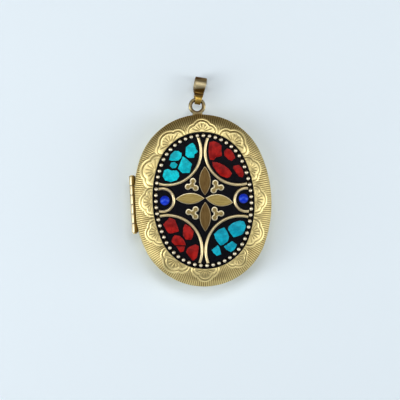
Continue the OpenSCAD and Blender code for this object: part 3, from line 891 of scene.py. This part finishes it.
def struck(node, finish, edge, sunk):
    """A piece with a raised edge of one width round a face that is sunk by some depth."""
    low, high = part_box(node)
    height = (high.z - low.z) / MM
    bm = copy_of(node)
    bottom = min(bm.faces, key=height_of)
    bmesh.ops.delete(bm, geom=[f for f in bm.faces if f is not bottom], context="FACES")
    made = bmesh.ops.extrude_face_region(bm, geom=list(bm.faces))
    raised = [v for v in made["geom"] if isinstance(v, bmesh.types.BMVert)]
    bmesh.ops.translate(bm, vec=(0, 0, height), verts=raised)
    bmesh.ops.recalc_face_normals(bm, faces=bm.faces)
    rounded(bm, list(max(bm.faces, key=height_of).edges), STRUCK_BEVEL)
    top = top_of(bm, digits=4)
    bmesh.ops.inset_region(bm, faces=[top], thickness=edge - STRUCK_BEVEL)
    bmesh.ops.inset_region(bm, faces=[top], thickness=STEP_WIDTH, depth=-sunk)
    level = high.z / MM - sunk / 2
    # The raised edge is marked for a paler colour, partly rubbing and partly painted highlight.
    store_wear_and_painted_light(bm, lambda spot: float(spot.z > level))
    cut_large_faces(bm)
    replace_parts(make_piece("struck_" + node, bm, "lid", finish, crisp=25), node)


print("struck pieces have a step of", STEP_WIDTH, "mm")

# %% [markdown]
# ## Petals and trefoils
# The four petals have a thin edge and a shallow face. The small trefoils have a wide edge, which
# leaves only a little clover of sunken metal in the middle.

# %% Make the petals and trefoils
for side in ("top", "bottom"):
    struck("petal_" + side, upright_petal_brass_painted_shade, edge=0.14, sunk=0.06)
for side in ("left", "right"):
    struck("petal_" + side, level_petal_brass_painted_light, edge=0.14, sunk=0.06)
for corner in ("upper_left", "upper_right", "lower_left", "lower_right"):
    struck("trefoil_" + corner, trefoil_brass, edge=0.26, sunk=0.12)

# %% [markdown]
# ## The eye's finish
# The eye is the small ring that the bail hangs in. Its outer side is rubbed. Its hole and the neck
# under it are painted brown as painted shade, so the mask is made from the distance from the
# ring's middle. It shares the brass finish, and only its rule for the wear and the shade is new.

# %% Eye finish
EYE_Y, EYE_R = 24.2, 2.2
RING_RUBBED = (EYE_R - 0.9, EYE_R - 0.2)
NECK_START, NECK_SIDE = (EYE_R - 0.5, EYE_R), (0.3, 1.0)


def eye_wear_and_shade(finish):
    """Rubbed on the outer side of the ring, painted shade in its hole and on the neck."""
    eye_x, eye_y = finish.along("X"), finish.along("Y") - EYE_Y
    ring = (eye_x * eye_x + eye_y * eye_y) ** 0.5
    # The hole and the neck under the ring are darkened as painted shade.
    neck = (0 - eye_y).ramp(*NECK_START) * (1 - (eye_x ** 2).ramp(*NECK_SIDE))
    return (ring.ramp(*RING_RUBBED) * (1 - neck)).within()


eye_brass = brass("eye_brass", eye_wear_and_shade, bright=(0.38, 0.31, 0.16, 1),
                  dull=(0.075, 0.035, 0.008, 1))
print("eye finish ready")

# %% [markdown]
# ## The hinge barrel's finish
# A knuckle is painted brown on the side of the lid, as painted shade, and keeps a brighter colour
# on its outer side. It is black at its ends, where dirt stays in the joint. The knuckles repeat at
# one pitch, so the distance from the nearest end follows from the place along the barrel alone,
# and all six share one finish.

# %% Barrel finish
# The brown of the knuckles' side towards the lid is painted shade.
BARREL_BRIGHT, BARREL_PAINTED_SHADE = (0.66, 0.56, 0.34, 1), (0.24, 0.15, 0.035, 1)
PAINTED_SHADE_SIDE = (HINGE_X - 0.3, HINGE_X - 0.1)
DIRTY_END = (0.08, 0.16)
BARREL_ROUGH, SHADED_SIDE_ROUGH = 0.42, 0.08

barrel_brass = Finish("barrel_brass", Metallic=1.0)
turns = (barrel_brass.along("Y") - (FIRST_KNUCKLE + (PITCH - KNUCKLE) / 2)) * (1 / PITCH)
from_end = (0.5 - (turns.fraction() - 0.5).absolute()) * PITCH
# The side towards the lid is painted brown as painted shade.
shaded_side = barrel_brass.along("X").ramp(*PAINTED_SHADE_SIDE)
knuckle = barrel_brass.mix(shaded_side, BARREL_BRIGHT, BARREL_PAINTED_SHADE)
barrel_brass.feed(Base_Color=barrel_brass.mix(from_end.ramp(*DIRTY_END), SOOT_AND_SHADE, knuckle),
                  Roughness=BARREL_ROUGH + shaded_side * SHADED_SIDE_ROUGH)
print("barrel finish ready")

# %% [markdown]
# ## The bail's finish
# The bail's curved strap has bands of painted reflection and painted shade along it. Its golden
# foot and paler broad face are painted reflections, and its waist, where the strap is folded in,
# and its crown are darkened as painted shade. Tarnish spots from a noise lie over them. The
# borders between the bands are places along the locket, in millimetres, and the noise makes them
# ragged.

# %% Bail finish
# The face and foot colours are painted reflections of the curved strap.
BAIL_FACE_HIGHLIGHT, BAIL_FOOT_REFLECTION = (0.56, 0.48, 0.29, 1), (0.66, 0.44, 0.10, 1)
FOOT_END = (26.7, 27.1)
WAIST_START, WAIST_END = (26.9, 27.3), (28.4, 29.0)
CROWN_START = (31.0, 31.4)
SHADE_SHARE, SPOT_SHARE = 0.9, 0.25
SPOT_GRAIN, SPOT_DEPTH = 1.5, 0.02
BAIL_ROUGH, SPOT_ROUGH = 0.36, 0.2

bail_brass = Finish("bail_brass", Metallic=1.0)
bail_y = bail_brass.along("Y")
bail_spots = bail_brass.grain(SPOT_GRAIN, detail=3)
at_foot = 1 - bail_y.ramp(*FOOT_END)
# The waist and the crown are darkened as painted shade; the spots are real tarnish.
shaded_waist = bail_y.ramp(*WAIST_START) * (1 - bail_y.ramp(*WAIST_END))
shade_and_tarnish = (shaded_waist + bail_y.ramp(*CROWN_START)) * SHADE_SHARE + bail_spots * SPOT_SHARE
face = bail_brass.mix(at_foot, BAIL_FACE_HIGHLIGHT, BAIL_FOOT_REFLECTION)
bail_brass.feed(Base_Color=bail_brass.mix(shade_and_tarnish.within(), face, TARNISH),
                Roughness=BAIL_ROUGH + bail_spots * SPOT_ROUGH)
bail_brass.bump(bail_spots, SPOT_DEPTH)
print("bail finish ready")

# %% [markdown]
# ## Softened edges
# The bail and the knuckles have the right shape in the CAD model, but their edges are as sharp as
# a knife's. Sheet and wire that are handled every day have soft edges, which catch the light as
# thin pale lines. A copy of each solid gets a narrow bevel on its sharp edges.

# %% Softened metal
SHARP = math.radians(35)


def softened(node, name, body, finish, width):
    bm = copy_of(node)
    sharp = [e for e in bm.edges if e.is_manifold and e.calc_face_angle() > SHARP]
    rounded(bm, sharp, width, segments=3, clamp_overlap=True)
    cut_large_faces(bm)
    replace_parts(make_piece(name, bm, body, finish, crisp=50), node)


softened("bail", "folded_bail", "bail", bail_brass.material, width=0.07)
softened("case_knuckles", "case_barrel", "case", barrel_brass.material, width=0.03)
softened("lid_knuckles", "lid_barrel", "lid", barrel_brass.material, width=0.03)

# %% [markdown]
# ## Finishes on the CAD pieces
# The other pieces keep their CAD shape and only change their material. The start of a piece's name
# is enough to tell which finish it wears.

# %% Dress the CAD pieces
WEARS = {"back_shell": plain_brass, "snap_band": plain_brass, "eye": eye_brass,
         "hinge_pin": pin_brass, "inlay_plate": plain_brass, "corner_wire": wire_brass,
         "side_wire": wire_brass, "resin_bed": black_resin, "lapis": lapis_blue}
for start, finish in WEARS.items():
    for name, node in nodes.items():
        if name.startswith(start):
            node.material_slots[0].material = finish
print(len(WEARS), "finishes given to CAD pieces")

# %% [markdown]
# ## The table
# Polished metal shows its surroundings, so the table is part of the finish. It is pale blue, and
# darker beyond the top of the locket, for every ray but the camera's own. So the top of the border
# turns brown as it does on the photograph, while the table looks pale all over.

# %% Table
TABLE_HALF = 1.5
TABLE_COLOUR, DARK_TABLE = (0.83, 0.93, 1.0, 1), (0.30, 0.20, 0.08, 1)
DARK_FROM_TO = (22, 40)

square = bmesh.new()
bmesh.ops.create_grid(square, x_segments=1, y_segments=1, size=TABLE_HALF)
table_mesh = bpy.data.meshes.new("table")
square.to_mesh(table_mesh)
square.free()
table = bpy.data.objects.new("table", table_mesh)
bpy.context.scene.collection.objects.link(table)
cloth = Finish("table_top", Roughness=0.7, Specular_IOR_Level=0.2)
behind = cloth.along("Y").ramp(*DARK_FROM_TO)
seen = cloth.node("ShaderNodeLightPath", output="Is Camera Ray")
cloth.feed(Base_Color=cloth.mix(behind * (1 - seen), TABLE_COLOUR, DARK_TABLE))
table_mesh.materials.append(cloth.material)
print("table ready")

# %% [markdown]
# ## The room
# The room gives a faint even light, so that no side of the metal is quite black. It turns brown
# towards the far end, for the same reason as the table does.

# %% Room
ROOM_NEAR, ROOM_FAR = (0.30, 0.31, 0.33, 1), (0.15, 0.09, 0.03, 1)
FAR_FROM_TO = (0.3, 1.0)
ROOM_STRENGTH = 0.36

world = bpy.data.worlds.new("room")
bpy.context.scene.world = world
room = Tree(world)
direction = room.node("ShaderNodeTexCoord", output="Generated")
far = room.node("ShaderNodeSeparateXYZ", {"Vector": direction}, output="Y").ramp(*FAR_FROM_TO)
background = room.tree.nodes["Background"]
background.inputs["Strength"].default_value = ROOM_STRENGTH
room.tree.links.new(room.mix(far, ROOM_NEAR, ROOM_FAR).socket, background.inputs["Color"])
print("room ready")

# %% [markdown]
# ## The lamps
# Six soft lamps light the locket. A high one on each side gives every bead and each blue stone its
# pair of highlights. A low one on each side and one at the near end light the outside of the rim,
# and one high up lights the parts that are nearly level. No lamp stands low at the far end, which
# keeps the top of the border dark. The left ones are stronger, as on the photograph.

# %% Lamps
def lamp(name, spot, size, power):
    """A soft rectangular lamp that faces the locket."""
    data = bpy.data.lights.new(name, "AREA")
    data.shape = "RECTANGLE"
    data.size, data.size_y = size
    data.energy = power
    light = bpy.data.objects.new(name, data)
    light.location = spot
    light.rotation_euler = (-Vector(spot)).to_track_quat("-Z", "Y").to_euler()
    bpy.context.scene.collection.objects.link(light)


lamp("left_lamp", spot=(-0.34, 0.0, 0.34), size=(0.22, 0.34), power=0.65)
lamp("right_lamp", spot=(0.34, 0.0, 0.34), size=(0.22, 0.34), power=0.44)
lamp("low_left_lamp", spot=(-0.45, -0.08, 0.14), size=(0.16, 0.40), power=1.0)
lamp("low_right_lamp", spot=(0.45, -0.08, 0.14), size=(0.16, 0.40), power=0.80)
lamp("near_lamp", spot=(0.0, -0.50, 0.13), size=(0.70, 0.14), power=0.59)
lamp("top_lamp", spot=(0.0, 0.20, 0.46), size=(0.30, 0.20), power=0.75)
print(len(bpy.data.lights), "lamps")

# %% [markdown]
# ## Picture settings
# Colours go to the screen as they are, without a film look.

# %% Finish
bpy.context.scene.view_settings.view_transform = "Standard"
bpy.context.view_layer.update()
